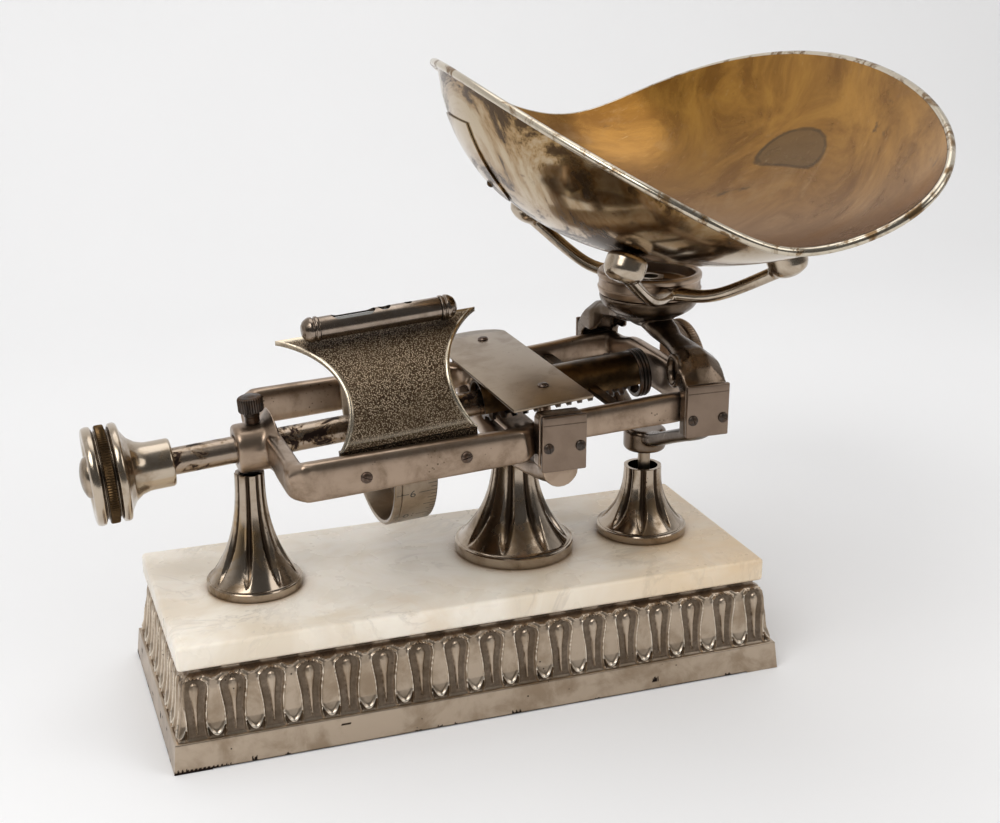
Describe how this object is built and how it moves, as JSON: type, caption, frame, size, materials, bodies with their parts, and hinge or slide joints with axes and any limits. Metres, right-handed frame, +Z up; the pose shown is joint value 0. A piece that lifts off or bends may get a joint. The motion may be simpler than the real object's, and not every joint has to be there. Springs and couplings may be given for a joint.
{
  "type": "weighing scale",
  "caption": "Counter scale with a knife-edge beam, a screw-driven poise drum, marble-topped base and a lift-off saddle-rimmed scoop.",
  "frame": {"origin": "middle of the object's bounding box, at the foot of the base", "axes": "+Z up, +X along the beam from the knob to the scoop, -Y towards the person who reads the drum from the front"},
  "size_m": [0.4263, 0.3409, 0.3314],
  "materials": {
    "plated_iron": "worn nickel plate over cast iron",
    "plated_steel": "worn nickel plate",
    "plated_brass": "worn nickel plate over brass",
    "dark_steel": "dark bare steel",
    "bare_brass": "dull bare brass",
    "scoop_brass": "brass inside, worn nickel plate outside",
    "marble": "polished white marble",
    "vial_glass": "clear glass with spirit"
  },
  "bodies": {
    "base": {"base_casting": "plated_iron", "marble_slab": "marble", "left_pedestal": "plated_iron", "centre_pedestal": "plated_iron", "right_pedestal": "plated_iron", "left_pedestal_nut": "plated_steel", "centre_pedestal_nut": "plated_steel", "right_pedestal_nut": "plated_steel", "fulcrum_yoke": "plated_iron", "fulcrum_bearing_front": "dark_steel", "fulcrum_bearing_rear": "dark_steel", "fulcrum_cover_front": "plated_steel", "fulcrum_cover_rear": "plated_steel", "fulcrum_front_cover_screw_1": "plated_steel", "fulcrum_front_cover_screw_2": "plated_steel", "fulcrum_rear_cover_screw_1": "plated_steel", "fulcrum_rear_cover_screw_2": "plated_steel", "check_bracket": "plated_steel"},
    "beam": {"beam_frame": "plated_iron", "fulcrum_knife_front": "dark_steel", "fulcrum_knife_rear": "dark_steel", "load_knife_front": "dark_steel", "load_knife_rear": "dark_steel", "poise_trough": "bare_brass", "poise_nut": "bare_brass", "top_plate": "plated_steel", "top_plate_screw_1": "plated_steel", "top_plate_screw_2": "plated_steel", "name_shield": "plated_brass", "shield_screw_1": "plated_steel", "shield_screw_2": "plated_steel", "level_tube": "plated_brass", "level_vial": "vial_glass", "level_cap_left": "plated_brass", "level_cap_right": "plated_brass", "balance_stud": "plated_steel"},
    "poise_rod": {"poise_spindle": "plated_steel"},
    "poise": {"knob_wheel": "plated_brass", "knob_cap": "plated_brass", "ounce_drum": "plated_brass", "lead_screw": "dark_steel"},
    "clamp": {"clamp_thumbscrew": "plated_steel"},
    "balance": {"balance_wheel": "plated_steel"},
    "load": {"load_yoke": "plated_iron", "load_bearing_front": "dark_steel", "load_bearing_rear": "dark_steel", "load_cover_front": "plated_steel", "load_cover_rear": "plated_steel", "load_front_cover_screw_1": "plated_steel", "load_front_cover_screw_2": "plated_steel", "load_rear_cover_screw_1": "plated_steel", "load_rear_cover_screw_2": "plated_steel", "check_rod": "plated_steel", "spider": "plated_iron", "spider_nut": "plated_steel"},
    "link": {"check_link": "dark_steel"},
    "scoop": {"scoop_pan": "scoop_brass", "nose_patch": "plated_brass", "patch_rivet": "bare_brass"}
  },
  "joints": [
    {"name": "beam_tilt", "type": "hinge", "parent": "base", "child": "beam", "pos_m": [0.01874, -0.00474, 0.1499], "axis": [0, 1, 0], "range_deg": [0, 6.9]},
    {"name": "poise_slide", "type": "slide", "parent": "beam", "child": "poise_rod", "axis": [0.9967, 0, 0.0811], "range_m": [-0.0444, 0.0126]},
    {"name": "poise_turn", "type": "hinge", "parent": "poise_rod", "child": "poise", "pos_m": [0.01849, -0.00474, 0.15299], "axis": [0.9967, 0, 0.0811], "range_deg": [-630, 180]},
    {"name": "clamp_turn", "type": "hinge", "parent": "beam", "child": "clamp", "pos_m": [-0.12329, -0.00474, 0.14146], "axis": [-0.0811, 0, 0.9967], "range_deg": [-90, 360]},
    {"name": "balance_turn", "type": "hinge", "parent": "beam", "child": "balance", "pos_m": [0.11991, -0.00474, 0.16124], "axis": [0.9967, 0, 0.0811], "range_deg": [-360, 360]},
    {"name": "load_swing", "type": "hinge", "parent": "beam", "child": "load", "pos_m": [0.09748, -0.00474, 0.1563], "axis": [0, 1, 0], "range_deg": [-6.9, 0]},
    {"name": "link_swing", "type": "hinge", "parent": "base", "child": "link", "pos_m": [0.01874, -0.00474, 0.0249], "axis": [0, 1, 0], "range_deg": [0, 6.9]},
    {"name": "scoop_lift", "type": "slide", "parent": "load", "child": "scoop", "axis": [0, 0, 1], "range_m": [0, 0.12]}
  ],
  "couplings": [
    {"joint": "poise_turn", "follows": "poise_slide", "rad_per_m": 247.37},
    {"joint": "load_swing", "follows": "beam_tilt", "ratio": -1},
    {"joint": "link_swing", "follows": "beam_tilt", "ratio": 1}
  ]
}
